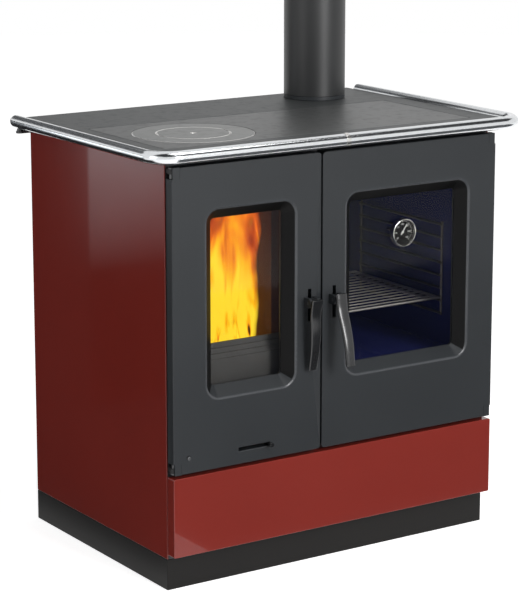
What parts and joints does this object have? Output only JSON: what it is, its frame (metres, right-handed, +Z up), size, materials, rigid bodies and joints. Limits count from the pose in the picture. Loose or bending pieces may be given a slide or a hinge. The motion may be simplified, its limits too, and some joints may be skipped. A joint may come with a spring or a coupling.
{
  "type": "wood cookstove",
  "caption": "Free-standing wood cookstove: enamelled body, glazed firebox and oven doors with lever handles, drawer, hob with lift-out ring, chrome rail and flue pipe.",
  "frame": {"origin": "middle of the footprint of the whole stove, on the floor", "axes": "+Z up, the doors and drawer face -Y, the firebox is on the -X side and the oven on the +X side"},
  "size_m": [0.873, 0.6104, 1.1],
  "materials": {
    "red_enamel": "deep red vitreous enamel, glossy",
    "charcoal_enamel": "charcoal painted cast door, satin",
    "plinth_enamel": "dark grey satin paint",
    "cast_iron": "bare cast iron, sooted",
    "hob_steel": "machined and burnished hob steel",
    "dark_steel": "stove black on sheet steel",
    "chrome": "polished chrome",
    "zinc_steel": "zinc plated steel",
    "oven_enamel": "blue-black oven enamel",
    "firebrick": "rough fired clay",
    "door_glass": "clear heat-proof glass",
    "black_handle": "glossy black lacquer",
    "dial_black": "matt black dial",
    "needle_white": "white paint"
  },
  "bodies": {
    "stove": {"plinth": "plinth_enamel", "base_panel": "dark_steel", "left_side_panel": "red_enamel", "right_side_panel": "red_enamel", "back_panel": "dark_steel", "front_frame": "cast_iron", "drawer_runner_left": "zinc_steel", "drawer_runner_right": "zinc_steel", "firebox_shell": "cast_iron", "fire_grate": "cast_iron", "firebrick_left": "firebrick", "firebrick_right": "firebrick", "firebrick_back": "firebrick", "smoke_baffle": "firebrick", "log_guard": "cast_iron", "oven_cavity": "oven_enamel", "rack_support_left": "chrome", "rack_support_right": "chrome", "hob_frame": "hob_steel", "cooking_plate": "hob_steel", "flue_collar": "dark_steel", "flue_pipe": "dark_steel", "rail_left": "chrome", "rail_right": "chrome", "rail_joint_sleeve": "zinc_steel", "rail_bracket_1": "black_handle", "rail_bracket_2": "black_handle", "rail_bracket_3": "black_handle", "rail_bracket_4": "black_handle", "rail_bracket_5": "black_handle", "rail_bracket_6": "black_handle"},
    "drawer": {"drawer_front": "red_enamel", "drawer_box": "dark_steel"},
    "hob_ring": {"hob_ring": "hob_steel"},
    "hob_disc": {"hob_disc": "hob_steel"},
    "oven_rack": {"oven_rack": "chrome"},
    "ash_pan": {"ash_pan": "zinc_steel"},
    "firebox_door": {"firebox_door_casting": "charcoal_enamel", "firebox_door_glass": "door_glass", "firebox_glass_frame": "dark_steel", "firebox_hinge_pin_bottom": "zinc_steel", "firebox_hinge_pin_top": "zinc_steel", "firebox_handle_pin": "zinc_steel", "firebox_door_screw": "zinc_steel"},
    "firebox_handle": {"firebox_handle_lever": "black_handle"},
    "air_slider": {"air_slider": "black_handle"},
    "oven_door": {"oven_door_casting": "charcoal_enamel", "oven_door_glass": "door_glass", "oven_glass_frame": "dark_steel", "oven_hinge_pin_bottom": "zinc_steel", "oven_hinge_pin_top": "zinc_steel", "oven_handle_pin": "zinc_steel", "thermometer_case": "chrome", "thermometer_dial": "dial_black", "thermometer_lens": "door_glass"},
    "oven_handle": {"oven_handle_lever": "black_handle"},
    "thermometer_needle": {"thermometer_needle": "needle_white"}
  },
  "joints": [
    {"name": "firebox_door_swing", "type": "hinge", "parent": "stove", "child": "firebox_door", "pos_m": [-0.375, -0.23279, 0.53], "axis": [0, 0, -1], "range_deg": [0, 110]},
    {"name": "oven_door_swing", "type": "hinge", "parent": "stove", "child": "oven_door", "pos_m": [0.375, -0.23279, 0.53], "axis": [0, 0, 1], "range_deg": [0, 110]},
    {"name": "firebox_handle_turn", "type": "hinge", "parent": "firebox_door", "child": "firebox_handle", "pos_m": [-0.0725, -0.25679, 0.533], "axis": [-1, 0, 0], "range_deg": [0, 35]},
    {"name": "oven_handle_turn", "type": "hinge", "parent": "oven_door", "child": "oven_handle", "pos_m": [-0.0145, -0.25679, 0.533], "axis": [-1, 0, 0], "range_deg": [-20, 15]},
    {"name": "air_slider_slide", "type": "slide", "parent": "firebox_door", "child": "air_slider", "axis": [1, 0, 0], "range_m": [-0.066, 0]},
    {"name": "drawer_slide", "type": "slide", "parent": "stove", "child": "drawer", "axis": [0, -1, 0], "range_m": [0, 0.35]},
    {"name": "hob_ring_lift", "type": "slide", "parent": "stove", "child": "hob_ring", "axis": [0, 0, 1], "range_m": [0, 0.1]},
    {"name": "hob_disc_lift", "type": "slide", "parent": "hob_ring", "child": "hob_disc", "axis": [0, 0, 1], "range_m": [0, 0.1]},
    {"name": "oven_rack_slide", "type": "slide", "parent": "stove", "child": "oven_rack", "axis": [0, -1, 0], "range_m": [0, 0.078]},
    {"name": "ash_pan_slide", "type": "slide", "parent": "stove", "child": "ash_pan", "axis": [0, -1, 0], "range_m": [0, 0.012]},
    {"name": "thermometer_needle_turn", "type": "hinge", "parent": "oven_door", "child": "thermometer_needle", "pos_m": [0.161, -0.22779, 0.641], "axis": [0, 1, 0], "range_deg": [-170, 100]}
  ]
}
